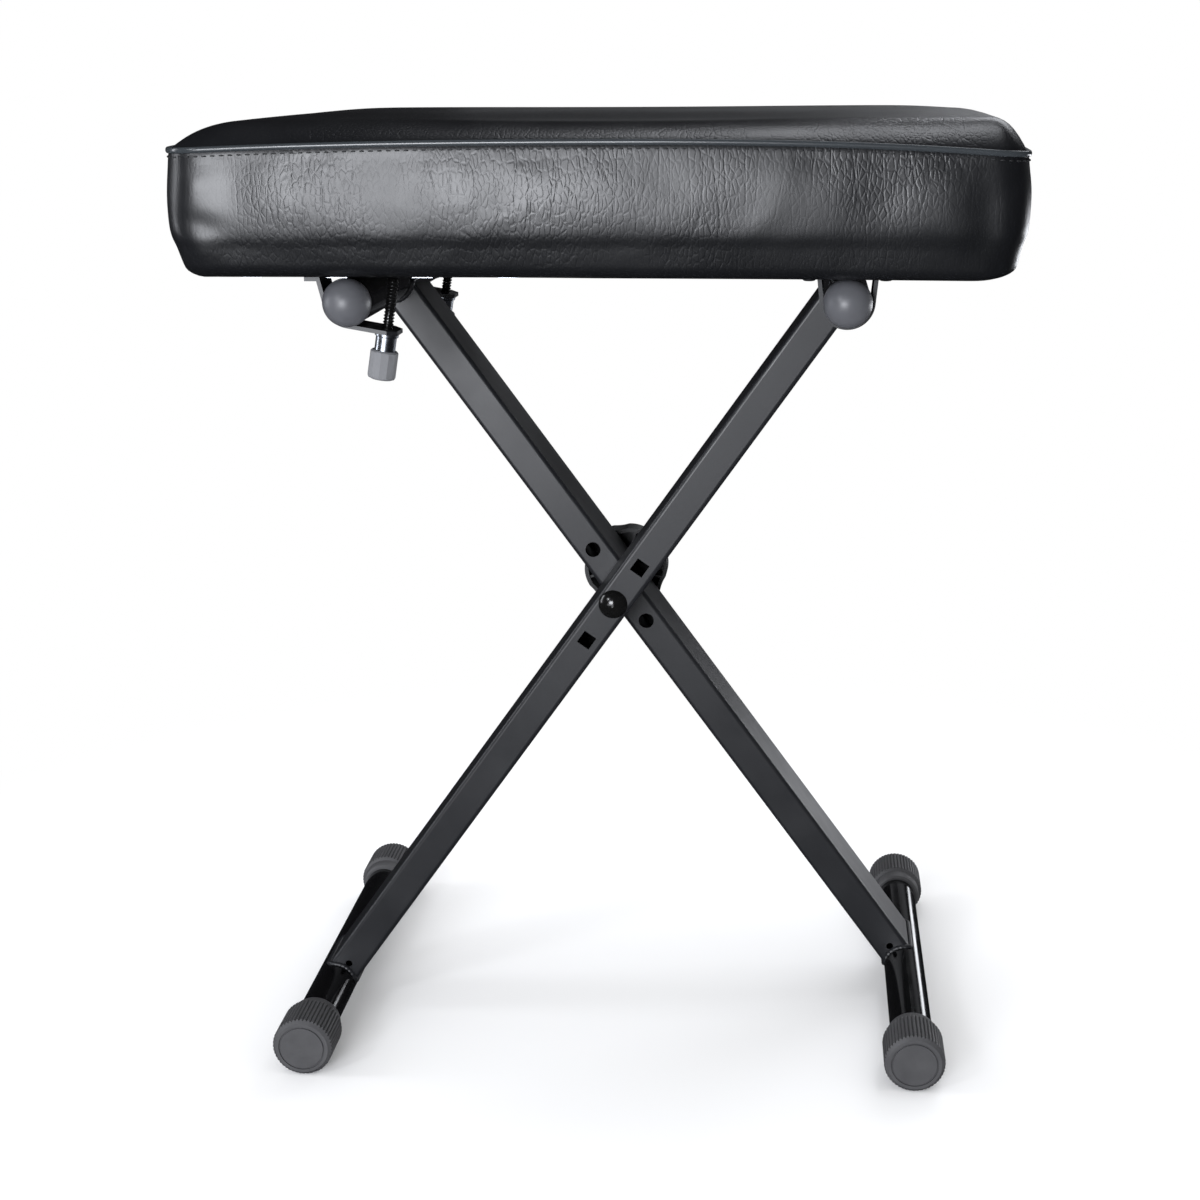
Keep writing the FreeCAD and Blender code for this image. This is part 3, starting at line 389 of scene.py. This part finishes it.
@dataclass
class Cushion:
    """Seat pad: a top panel sewn to a band that is pulled under the board. Sizes in millimetres."""

    shop: Workshop
    width: float = 450.0
    depth: float = 276.0
    corner: float = 20.0
    seam_middle: float = 70.2
    seam_drop_left: float = 4.1
    seam_drop_right: float = 7.6
    seam_bow_side: float = 2.0
    crown: float = 81.6
    shoulder: float = 40.0
    shoulder_right: float = 19.0
    shoulder_front: float = 27.0
    shoulder_power: float = 2.2
    shoulder_turn: tuple[float, float] = (3.3, 2.2)
    band_bulge: float = 2.4
    bulge_low: float = 0.58
    board_line: float = 18.5
    tuck: float = 4.6
    lip_round: float = 4.0
    lip_drop_right: float = 2.4
    lip_rise_left: float = 2.6
    hem: float = 28.0
    hem_step: float = 6.0
    cell: float = 5.0
    rows: int = 20
    seam_grip: float = 2.2
    seam_share: float = 0.07
    pressure: float = 2.5
    frames: int = 20
    most_move: float = 2.4
    soften: int = 30
    side_pull: float = 0.4
    ripple: float = 0.03
    ripple_depth: float = 0.5
    ripple_side: float = 0.8
    stitch: float = 3.2
    stitch_thick: float = 0.9
    stitch_pitch: float = 4.6
    stitch_drop: float = 3.4
    stitch_out: float = 0.15
    edge_half: tuple[float, float] = (1.0, 1.6)
    edge_step: float = 3.0
    edge_sides: int = 12

    def __post_init__(self) -> None:
        """Take the level of the underside from the frame's cover."""
        self.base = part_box("seat_cover")[0].z / MM

    def seam(self, x: float, y: float) -> float:
        """Height of the seam above the underside at a place on the outline."""
        share = abs(x) / (self.width / 2)
        drop = self.seam_drop_left if x < 0 else self.seam_drop_right
        side = self.seam_bow_side * share ** 8 * (1 - (2 * y / self.depth) ** 2)
        return self.seam_middle - drop * min(1.0, share) ** 2.5 + side

    def inside(self, x: float, y: float) -> float:
        """How far inside the seam a place is, from 0 on it to 1 where the shoulder ends."""
        side = self.shoulder if x < 0 else self.shoulder_right
        over_x = max(0.0, abs(x) - self.width / 2 + side) / side
        over_y = max(0.0, abs(y) - self.depth / 2 + self.shoulder_front) / self.shoulder_front
        power = self.shoulder_turn[0 if x < 0 else 1]
        return max(0.0, 1 - (over_x ** power + over_y ** power) ** (1 / power))

    def top(self, x: float, y: float) -> float:
        """Height of the top panel above the underside."""
        rise = 1 - (1 - self.inside(x, y)) ** self.shoulder_power
        edge = self.seam(x, y)
        return edge + (self.crown - edge) * rise

    def rounded(self, x: float, y: float) -> tuple[float, float]:
        """Move a place of the square outline on to the one with round corners."""
        dx = abs(x) - (self.width / 2 - self.corner)
        dy = abs(y) - (self.depth / 2 - self.corner)
        if dx <= 0 or dy <= 0:
            return x, y
        scale = max(dx, dy) / math.hypot(dx, dy)
        return (math.copysign(self.width / 2 - self.corner + dx * scale, x),
                math.copysign(self.depth / 2 - self.corner + dy * scale, y))

    def inset(self, height: float, seam: float) -> float:
        """How far the band stands inside the seam at a height above the underside."""
        if height >= self.board_line:
            share = (height - self.board_line) / (seam - self.board_line)
            return 0.5 * (1 - share) - self.band_bulge * math.sin(math.pi * min(1.0, share) ** self.bulge_low)
        share = 1 - height / self.board_line
        tuck = 0.5 + self.tuck * share ** 1.2
        under = max(0.0, 1 - height / self.lip_round)
        return tuck + self.lip_round * (1 - math.sqrt(max(0.0, 1 - under * under)))

    def lip(self, x: float) -> float:
        """Change of level of the front lower edge: raised on the left, drooping on the right."""
        share = x / (self.width / 2)
        return -self.lip_drop_right * max(0.0, share) ** 1.2 + self.lip_rise_left * max(0.0, -share) ** 0.8

    def shaped(self, u: float, v: float, w: float) -> Vector:
        """Place of a point of the unit block on the cushion.

        Args:
            u: From -1 on the left to 1 on the right.
            v: From -1 in front to 1 at the back.
            w: From 0 on the underside to 1 on the top.

        Returns:
            The point in metres, in the frame.
        """
        x, y = self.rounded(u * self.width / 2, v * self.depth / 2)
        seam = self.seam(x, y)
        if w >= 1.0:
            return Vector((x, y, self.base + self.top(x, y))) * MM
        level = seam * w
        drawn = self.inset(level, seam)
        reach_x = 1 - 2 * drawn / self.width
        reach_y = 1 - 2 * drawn / self.depth
        if w <= 0.0:
            inside = min(self.width / 2 - abs(x), self.depth / 2 - abs(y)) - drawn
            if inside > self.hem:
                level = self.hem_step
        return Vector((x * reach_x, y * reach_y, self.base + level)) * MM

    def blank(self) -> bmesh.types.BMesh:
        """Even block of quads, shaped into the cushion before it is filled.

        Returns:
            The mesh, in place.
        """
        bm = bmesh.new()
        bmesh.ops.create_cube(bm, size=2.0)
        counts = (round(self.width / self.cell), round(self.depth / self.cell), self.rows)
        for axis, count in enumerate(counts):
            along = [e for e in bm.edges
                     if abs(abs((e.verts[0].co - e.verts[1].co)[axis]) - 2.0) < 1e-4]
            bmesh.ops.subdivide_edges(bm, edges=along, cuts=count - 1, use_grid_fill=True)
        for vert in bm.verts:
            u, v, w = vert.co
            vert.co = self.shaped(u, v, (w + 1) / 2 if abs(w) < 0.9999 else round((w + 1) / 2))
        bmesh.ops.recalc_face_normals(bm, faces=bm.faces)
        return bm

    def fill(self, pad: bpy.types.Object) -> None:
        """Blow the cover up a little over its foam, held at the seam and round the board.

        Args:
            pad: The blank, which keeps its outline and takes the simulated swell.
        """
        mesh = pad.data
        rest = [v.co.copy() for v in mesh.vertices]
        held = pad.vertex_groups.new(name="held")
        for vert in mesh.vertices:
            x, y, z = vert.co / MM
            height = z - self.base
            near_seam = abs(height - self.seam(x, y)) < self.seam_grip
            on_seam = near_seam and self.inside(x, y) < self.seam_share
            if height < self.board_line or on_seam:
                held.add([vert.index], 1.0, "REPLACE")
        cloth = pad.modifiers.new("fill", "CLOTH")
        cloth.settings.vertex_group_mass = "held"
        cloth.settings.use_pressure = True
        cloth.settings.uniform_pressure_force = self.pressure
        cloth.settings.effector_weights.gravity = 0.0
        cloth.settings.quality = 6
        cloth.settings.mass = 0.3
        cloth.settings.bending_stiffness = 4.0
        cloth.point_cache.frame_start = 1
        cloth.point_cache.frame_end = self.frames
        scene = bpy.context.scene
        for frame_number in range(1, self.frames + 1):
            scene.frame_set(frame_number)
        swollen = bpy.data.meshes.new_from_object(pad.evaluated_get(bpy.context.evaluated_depsgraph_get()))
        moves = [end.co - start for start, end in zip(rest, swollen.vertices)]
        moves = [move * min(1.0, self.most_move * MM / max(move.length, 1e-9)) for move in moves]
        for vert, start, move in zip(mesh.vertices, rest, self.softened(mesh, moves)):
            vert.co = start + move
        pad.modifiers.remove(cloth)
        pad.vertex_groups.remove(held)
        bpy.data.meshes.remove(swollen)
        scene.frame_set(1)
        furthest = max((v.co - start).length for v, start in zip(mesh.vertices, rest)) / MM
        LOG.info("cushion filled, furthest move %.1f mm", furthest)

    def softened(self, mesh: bpy.types.Mesh, moves: list[Vector]) -> list[Vector]:
        """Spread each move over its neighbours, as the wadding under the cloth evens out its folds.

        Args:
            mesh: The mesh that the moves belong to.
            moves: Move of each vertex.

        Returns:
            The evened moves. Vertices that were held stay where they are.
        """
        beside = [[] for _ in moves]
        for edge in mesh.edges:
            first, second = edge.vertices
            beside[first].append(second)
            beside[second].append(first)
        still = [move.length < 1e-7 for move in moves]
        for _ in range(self.soften):
            moves = [move if fixed else (move + sum((moves[n] for n in near), Vector())) / (len(near) + 1)
                     for move, fixed, near in zip(moves, still, beside)]
        return moves

    def dents(self) -> list[Dent]:
        """Folds of the front band that the photograph shows, by place along it and height."""
        return [
            Dent(-188.0, 44.0, 16.0, 30.0, 1.1),
            Dent(-208.0, 30.0, 14.0, 5.5, 1.5, lean=-14.0),
            Dent(-207.0, 50.0, 7.0, 9.0, -0.6),
            Dent(-206.0, 15.0, 9.0, 8.0, -1.0),
            Dent(205.0, 34.0, 10.0, 24.0, 1.8),
            Dent(214.0, 18.0, 10.0, 6.0, -1.2, lean=20.0),
            Dent(-110.0, 48.0, 26.0, 20.0, 0.7, lean=20.0),
            Dent(60.0, 44.0, 34.0, 14.0, 0.6, lean=-15.0),
            Dent(150.0, 40.0, 18.0, 20.0, 0.8, lean=12.0),
        ]

    def settle(self, mesh: bpy.types.Mesh) -> None:
        """Press the folds into the front and back bands, and let the lower front edge sag.

        Args:
            mesh: The filled cushion.
        """
        folds = self.dents()
        for vert in mesh.vertices:
            x, y, z = vert.co / MM
            height = z - self.base
            front = smooth_step(-y, self.depth / 2 - 16, self.depth / 2 - 7)
            back = smooth_step(y, self.depth / 2 - 16, self.depth / 2 - 7)
            side = smooth_step(abs(x), self.width / 2 - 14, self.width / 2 - 4)
            faded = smooth_step(self.seam(x, y) - height, 0.5, 7.0) * smooth_step(height, 2.0, 9.0)
            inward = sum(fold.push(x, height) for fold in folds) * front * faded
            outward = sum(fold.push(-x, height) for fold in folds) * back * faded
            place = Vector((x * self.ripple, y * self.ripple, height * 0.05))
            swell = noise.noise(place) * faded
            vert.co.y += (inward - outward) * MM
            vert.co.y -= math.copysign(self.ripple_depth * swell * max(front, back), y) * MM
            vert.co.x -= math.copysign((self.ripple_side * swell + self.side_pull) * side, x) * MM
            if height < self.board_line:
                vert.co.z += self.lip(x) * front * (1 - height / self.board_line) * MM

    def outline(self, drop: float, out: float, step: float) -> list[tuple[Vector, Vector]]:
        """Even places along the seam.

        Args:
            drop: How far below the seam, in millimetres.
            out: How far outside the band.
            step: Distance from one place to the next.

        Returns:
            Place in metres and direction along the seam, for each.
        """
        half_x = self.width / 2 - self.corner
        half_y = self.depth / 2 - self.corner
        reach = self.corner + out
        quarter = reach * math.pi / 2
        runs = [2 * half_x, quarter, 2 * half_y, quarter] * 2
        total = sum(runs)
        count = round(total / step)
        places = []
        for number in range(count):
            left = number * total / count
            leg = 0
            while left > runs[leg]:
                left -= runs[leg]
                leg += 1
            side, turning = divmod(leg, 2)
            centre = Vector(((1, -1), (1, 1), (-1, 1), (-1, -1))[side])
            heading = side * math.pi / 2
            if turning:
                heading += left / reach
                middle = Vector((centre.x * half_x, centre.y * half_y))
            else:
                before = Vector(((-1, -1), (1, -1), (1, 1), (-1, 1))[side])
                middle = Vector((before.x * half_x, before.y * half_y))
                middle += Vector((math.cos(heading), math.sin(heading))) * left
            x = middle.x + math.sin(heading) * reach
            y = middle.y - math.cos(heading) * reach
            level = self.base + self.seam(x, y) - drop
            places.append((Vector((x, y, level)) * MM, Vector((math.cos(heading), math.sin(heading), 0))))
        return places

    def rolled_edge(self) -> bpy.types.Object:
        """Turned edge of the top panel, a thin roll that stands just proud of the seam."""
        deep, tall = self.edge_half
        rings = []
        for place, heading in self.outline(0.0, 0.0, self.edge_step):
            out = heading.cross(Vector((0, 0, 1)))
            ring = []
            for number in range(self.edge_sides):
                turn = 2 * math.pi * number / self.edge_sides
                spoke = out * math.cos(turn) * deep + Vector((0, 0, 1)) * math.sin(turn) * tall
                ring.append(place + spoke * MM)
            rings.append(ring)
        bm = closed_tube(rings)
        # The roll's lighter grey colour is a painted highlight along the seam.
        return self.shop.piece("seat_rolled_edge", bm, Slot.VINYL, "seat", SEAM_EDGE_PAINTED_HIGHLIGHT)

    def stitches(self) -> bpy.types.Object:
        """Lock stitches of the top seam, each a short tight loop that dips into the cover."""
        bm = bmesh.new()
        thick = self.stitch_thick / 2 * MM
        size = Matrix.Diagonal((self.stitch / 2 * MM, thick, thick, 1.0))
        for place, heading in self.outline(self.stitch_drop, self.stitch_out, self.stitch_pitch):
            slant = Matrix.Rotation(math.atan2(heading.y, heading.x), 4, "Z")
            bmesh.ops.create_uvsphere(bm, u_segments=6, v_segments=4, radius=1.0,
                                      matrix=Matrix.Translation(place) @ slant @ size)
        return self.shop.piece("seat_stitches", bm, Slot.VINYL, "seat", THREAD)

    def build(self) -> None:
        """Make the cushion with its seam and stitches, in place of the plain cover and foam."""
        pad = self.shop.piece("seat_cushion", self.blank(), Slot.VINYL, "seat")
        self.fill(pad)
        self.settle(pad.data)
        finer = pad.modifiers.new("smooth", "SUBSURF")
        finer.levels = finer.render_levels = 1
        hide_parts("seat_cover", "seat_foam")
        self.rolled_edge()
        self.stitches()


@dataclass
class WeldBeads:
    """Fillet welds that run round the coped ends of the bars. Sizes in millimetres."""

    shop: Workshop
    bead: float = 1.7
    ripple: float = 0.25
    ripple_pitch: float = 2.4
    corner: float = 3.0
    step: float = 0.8
    sides: int = 8
    bar_half: float = 10.0

    def section(self, half_u: float, half_v: float) -> list[tuple[float, float]]:
        """Even places round the bar's rounded section."""
        places = []
        straight_u = half_u - self.corner
        straight_v = half_v - self.corner
        quarter = self.corner * math.pi / 2
        runs = [2 * straight_u, quarter, 2 * straight_v, quarter] * 2
        total = sum(runs)
        count = round(total / self.step)
        for number in range(count):
            left = number * total / count
            leg = 0
            while left > runs[leg]:
                left -= runs[leg]
                leg += 1
            side, turning = divmod(leg, 2)
            heading = side * math.pi / 2
            corner = ((-1, -1), (1, -1), (1, 1), (-1, 1))[(side + turning) % 4]
            u = corner[0] * straight_u
            v = corner[1] * straight_v
            if turning:
                heading += left / self.corner
            else:
                u += math.cos(heading) * left
                v += math.sin(heading) * left
            places.append((u + math.sin(heading) * self.corner, v - math.cos(heading) * self.corner))
        return places

    def bead_round(self, name: str, body: str, centre: Vector, along: Vector, radius: float,
                   half: tuple[float, float]) -> bpy.types.Object:
        """Make the bead where one bar meets one tube.

        Args:
            name: Name of the piece.
            body: Body that the bar is part of.
            centre: Point on the tube's axis in the middle of the bar, in millimetres.
            along: Direction from the tube up or down the bar.
            radius: Outer radius of the tube.
            half: Half the bar's width and depth.

        Returns:
            The bead.
        """
        across = Vector((along.z, 0, -along.x))
        deep = Vector((0, 1, 0))
        rings = []
        path = []
        for u, v in self.section(*half):
            rise = math.sqrt(radius * radius - min(abs(u), radius - 0.5) ** 2)
            path.append((centre + along * rise + across * u + deep * v, across * u + deep * v))
        for number, (place, outward) in enumerate(path):
            before = path[number - 1][0]
            after = path[(number + 1) % len(path)][0]
            heading = (after - before).normalized()
            out = (outward - heading * outward.dot(heading)).normalized()
            up = heading.cross(out)
            wave = math.sin(2 * math.pi * number * self.step / self.ripple_pitch)
            size = self.bead + self.ripple * wave
            turns = [2 * math.pi * side / self.sides for side in range(self.sides)]
            rings.append([(place + (out * math.cos(turn) + up * math.sin(turn)) * size) * MM
                          for turn in turns])
        return self.shop.piece(name, closed_tube(rings), Slot.POWDER, body)

    def build(self) -> None:
        """Weld each bar to its foot tube and its top tube."""
        joints = {joint["name"]: joint for joint in self.shop.frame["joints"]}
        pivot = Vector(joints["leg_cross"]["pos_m"]) / MM
        for body, bar, tubes in (("front_leg", "front_bar", ("left_foot_tube", "right_top_tube")),
                                 ("rear_leg", "rear_bar", ("right_foot_tube", "left_top_tube"))):
            low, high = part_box(bar)
            middle_y = (low.y + high.y) / 2 / MM
            half = (self.bar_half, (high.y - low.y) / 2 / MM)
            for tube in tubes:
                tube_low, tube_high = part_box(tube)
                centre = (tube_low + tube_high) / 2 / MM
                centre.y = middle_y
                along = Vector((pivot.x, middle_y, pivot.z)) - centre
                radius = (tube_high.z - tube_low.z) / 2 / MM
                self.bead_round(tube + "_weld", body, centre, along.normalized(), radius, half)


@dataclass
class ThumbScrews:
    """Rolled threads of the two clamp screws. Sizes in millimetres; the pitch is coarse enough to show."""

    shop: Workshop
    radius: float = 3.0
    depth: float = 0.55
    pitch: float = 1.8
    steps: int = 20
    end_gap: float = 0.4
    weld: float = 0.02

    def thread(self, end: str) -> bpy.types.Object:
        """Make one screw's thread as a ridge that is spun up the shank.

        Args:
            end: Which screw, front or rear.

        Returns:
            The threaded shank.
        """
        joint = next(j for j in self.shop.frame["joints"] if j["name"] == end + "_screw_turn")
        axis = Vector(joint["axis"]).normalized()
        node = end + "_thumb_shank"
        anchor = Vector(joint["pos_m"])
        reach = [(v.co - anchor).dot(axis) for v in self.shop.frame["nodes"][node].data.vertices]
        low, high = min(reach), max(reach) - self.end_gap * MM
        side = axis.cross(Vector((0, 1, 0))).normalized()
        turns = int((high - low) / (self.pitch * MM)) - 1
        core = self.radius - self.depth
        crest = self.radius
        profile = [(core, 0.0), (core, 0.2), (crest, 0.45), (crest, 0.6), (core, 0.85), (core, 1.0)]
        start = anchor + axis * low
        bm = bmesh.new()
        verts = [bm.verts.new(start + side * r * MM + axis * share * self.pitch * MM) for r, share in profile]
        edges = [bm.edges.new(pair) for pair in zip(verts, verts[1:])]
        bmesh.ops.spin(bm, geom=verts + edges, cent=start, axis=axis,
                       dvec=axis * (self.pitch * MM / self.steps), angle=2 * math.pi * turns,
                       steps=self.steps * turns, use_duplicate=False)
        bmesh.ops.remove_doubles(bm, verts=bm.verts, dist=self.weld * MM)
        length = (turns + 1) * self.pitch * MM
        turn = axis.to_track_quat("Z", "Y").to_matrix().to_4x4()
        bmesh.ops.create_cone(bm, cap_ends=True, segments=24, radius1=core * MM, radius2=core * MM,
                              depth=length, matrix=Matrix.Translation(start + axis * length / 2) @ turn)
        bmesh.ops.recalc_face_normals(bm, faces=bm.faces)
        made = self.shop.piece(end + "_thumb_thread", bm, Slot.BOLT, end + "_thumb_screw")
        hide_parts(node)
        return made

    def build(self) -> None:
        """Thread both screws."""
        for end in ("front", "rear"):
            self.thread(end)


@dataclass
class Lamp:
    """One soft box."""

    name: str
    place: tuple[float, float, float]
    aim: tuple[float, float, float]
    size: tuple[float, float]
    watts: float

    def build(self) -> None:
        """Hang the lamp and turn it to its aim. It isn't seen itself."""
        data = bpy.data.lights.new(self.name, "AREA")
        data.shape = "RECTANGLE"
        data.size, data.size_y = self.size
        data.energy = self.watts
        data.color = DAYLIGHT
        lamp = bpy.data.objects.new(self.name, data)
        lamp.location = self.place
        lamp.rotation_euler = (Vector(self.aim) - Vector(self.place)).to_track_quat("-Z", "Y").to_euler()
        lamp.visible_camera = False
        bpy.context.scene.collection.objects.link(lamp)


# A tall soft box in front gives the band its sheen, and dim ones at the back keep the hidden sides readable.
LAMPS = (
    Lamp("front_wall", (-0.47, -1.9, 0.56), (-0.3, 0.0, 0.52), (0.8, 0.62), 30.0),
    Lamp("low_strip", (-0.42, -1.25, 0.12), (-0.1, 0.0, 0.2), (0.9, 0.22), 2.2),
    Lamp("key", (-1.1, -1.5, 1.25), (0.0, 0.0, 0.3), (0.3, 0.3), 6.0),
    Lamp("overhead", (0.3, 0.4, 2.2), (0.05, 0.0, 0.5), (1.0, 0.6), 10.0),
    Lamp("left_wall", (-1.7, -0.15, 0.75), (0.0, 0.0, 0.35), (0.32, 1.2), 8.0),
    Lamp("rear", (0.9, 1.9, 1.75), (0.0, 0.0, 0.4), (1.2, 0.8), 10.0),
    Lamp("back_glow", (0.4, 2.7, 0.95), (0.0, 0.0, 0.5), (2.0, 0.4), 0.6),
    Lamp("rear_low", (1.35, 1.35, 0.16), (0.0, 0.0, 0.45), (1.2, 0.3), 6.0),
)


@dataclass
class Studio:
    """Pale floor, soft lamps and dark drapes that only reflections see. Sizes in metres."""

    floor_radius: float = 12.0
    white_from: float = 0.24
    white_to: float = 0.66
    fill: float = 0.8
    drape_radius: float = 3.2
    drape_height: float = 3.6
    drape_lift: float = 0.001
    paper: str = "#f4f4f4"
    velvet: str = "#1e1e20"

    def whitened(self, tree: bpy.types.NodeTree) -> bpy.types.NodeSocket:
        """1 for rays from the camera, a glossy surface or a clear one, and 0 for the rest."""
        path = add_node(tree, "ShaderNodeLightPath")
        seen = add_node(tree, "ShaderNodeMath",
                        {0: path.outputs["Is Camera Ray"], 1: path.outputs["Is Glossy Ray"]},
                        operation="MAXIMUM")
        both = add_node(tree, "ShaderNodeMath",
                        {0: seen.outputs[0], 1: path.outputs["Is Transmission Ray"]}, operation="MAXIMUM")
        return both.outputs[0]

    def world(self) -> None:
        """Even light on the object, and a white background behind it."""
        world = bpy.data.worlds.new("studio")
        world.use_nodes = True
        tree = world.node_tree
        tree.nodes.clear()
        light = add_node(tree, "ShaderNodeBackground", {"Color": linear("#ffffff"), "Strength": self.fill})
        white = add_node(tree, "ShaderNodeBackground", {"Color": linear("#ffffff"), "Strength": 1.0})
        mixed = add_node(tree, "ShaderNodeMixShader",
                         {0: self.whitened(tree), 1: light.outputs[0], 2: white.outputs[0]})
        add_node(tree, "ShaderNodeOutputWorld", {"Surface": mixed.outputs[0]})
        world.cycles.sampling_method = "NONE"
        bpy.context.scene.world = world

    def floor(self) -> None:
        """Round floor that keeps the object's shadow and turns white further out."""
        bm = bmesh.new()
        bmesh.ops.create_circle(bm, cap_ends=True, segments=96, radius=self.floor_radius)
        mesh = bpy.data.meshes.new("floor")
        bm.to_mesh(mesh)
        bm.free()
        floor = bpy.data.objects.new("floor", mesh)
        bpy.context.scene.collection.objects.link(floor)
        material = bpy.data.materials.new("matt_white_paper")
        material.use_nodes = True
        tree = material.node_tree
        tree.nodes.clear()
        where = add_node(tree, "ShaderNodeTexCoord")
        far = add_node(tree, "ShaderNodeVectorMath", {0: where.outputs["Object"]}, operation="LENGTH")
        outside = add_node(tree, "ShaderNodeMapRange",
                           {"Value": far.outputs["Value"],
                            "From Min": self.white_from, "From Max": self.white_to},
                           interpolation_type="SMOOTHSTEP")
        share = add_node(tree, "ShaderNodeMath",
                         {0: outside.outputs["Result"], 1: self.whitened(tree)}, operation="MULTIPLY")
        paper = add_node(tree, "ShaderNodeBsdfPrincipled",
                         {"Base Color": linear(self.paper), "Roughness": 0.9, "Specular IOR Level": 0.0})
        white = add_node(tree, "ShaderNodeEmission", {"Color": linear("#ffffff"), "Strength": 1.0})
        mixed = add_node(tree, "ShaderNodeMixShader",
                         {0: share.outputs[0], 1: paper.outputs["BSDF"], 2: white.outputs[0]})
        add_node(tree, "ShaderNodeOutputMaterial", {"Surface": mixed.outputs[0]})
        material.cycles.emission_sampling = "NONE"
        mesh.materials.append(material)

    def drapes(self) -> None:
        """Dark drapes over, round and under the set, so that black stays black at a glancing view."""
        bm = bmesh.new()
        middle = self.drape_height / 2 + self.drape_lift
        bmesh.ops.create_cone(bm, cap_ends=True, segments=48, radius1=self.drape_radius,
                              radius2=self.drape_radius, depth=self.drape_height,
                              matrix=Matrix.Translation((0, 0, middle)))
        mesh = bpy.data.meshes.new("drapes")
        bm.to_mesh(mesh)
        bm.free()
        drapes = bpy.data.objects.new("drapes", mesh)
        bpy.context.scene.collection.objects.link(drapes)
        material = bpy.data.materials.new("black_velvet")
        material.use_nodes = True
        tree = material.node_tree
        tree.nodes.clear()
        cloth = add_node(tree, "ShaderNodeEmission", {"Color": linear(self.velvet), "Strength": 1.0})
        add_node(tree, "ShaderNodeOutputMaterial", {"Surface": cloth.outputs[0]})
        material.cycles.emission_sampling = "NONE"
        mesh.materials.append(material)
        drapes.visible_camera = False
        drapes.visible_diffuse = False
        drapes.visible_shadow = False
        drapes.visible_transmission = False

    def build(self) -> None:
        """Set the studio up."""
        self.world()
        self.floor()
        self.drapes()
        for lamp in LAMPS:
            lamp.build()
        LOG.info("studio ready")


@dataclass
class Viewpoint:
    """The photograph's camera, from its place, its angles and its lens."""

    place: tuple[float, float, float] = (0.10872, -1.1408, 0.57315)
    yaw: float = 3.91
    pitch: float = 15.42
    roll: float = -0.37
    lens: float = 57.78
    sensor: float = 36.0
    shift: tuple[float, float] = (-0.0589, -0.0015)

    def build(self) -> None:
        """Make the scene's camera."""
        yaw, pitch, roll = (math.radians(a) for a in (self.yaw, self.pitch, self.roll))
        ahead = Vector((-math.sin(yaw) * math.cos(pitch), math.cos(yaw) * math.cos(pitch), -math.sin(pitch)))
        right = ahead.cross(Vector((0, 0, 1))).normalized()
        up = right.cross(ahead)
        level = Matrix((right, up, -ahead)).transposed()
        turned = level @ Matrix.Rotation(roll, 3, "Z")
        data = bpy.data.cameras.new("camera")
        data.lens = self.lens
        data.sensor_width = self.sensor
        data.shift_x, data.shift_y = self.shift
        camera = bpy.data.objects.new("camera", data)
        camera.matrix_world = Matrix.Translation(self.place) @ turned.to_4x4()
        bpy.context.scene.collection.objects.link(camera)
        bpy.context.scene.camera = camera


def main() -> None:
    """Build the camera, the studio, the finishes and each sub-assembly."""
    logging.basicConfig(level=logging.INFO, format="%(name)s: %(message)s")
    bpy.ops.wm.read_factory_settings(use_empty=True)
    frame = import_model()
    bpy.context.scene.view_settings.view_transform = "Standard"
    Viewpoint().build()
    Studio().build()
    shop = Workshop(frame)
    shop.dress_frame()
    Cushion(shop).build()
    WeldBeads(shop).build()
    ThumbScrews(shop).build()


if __name__ == "__main__":
    main()
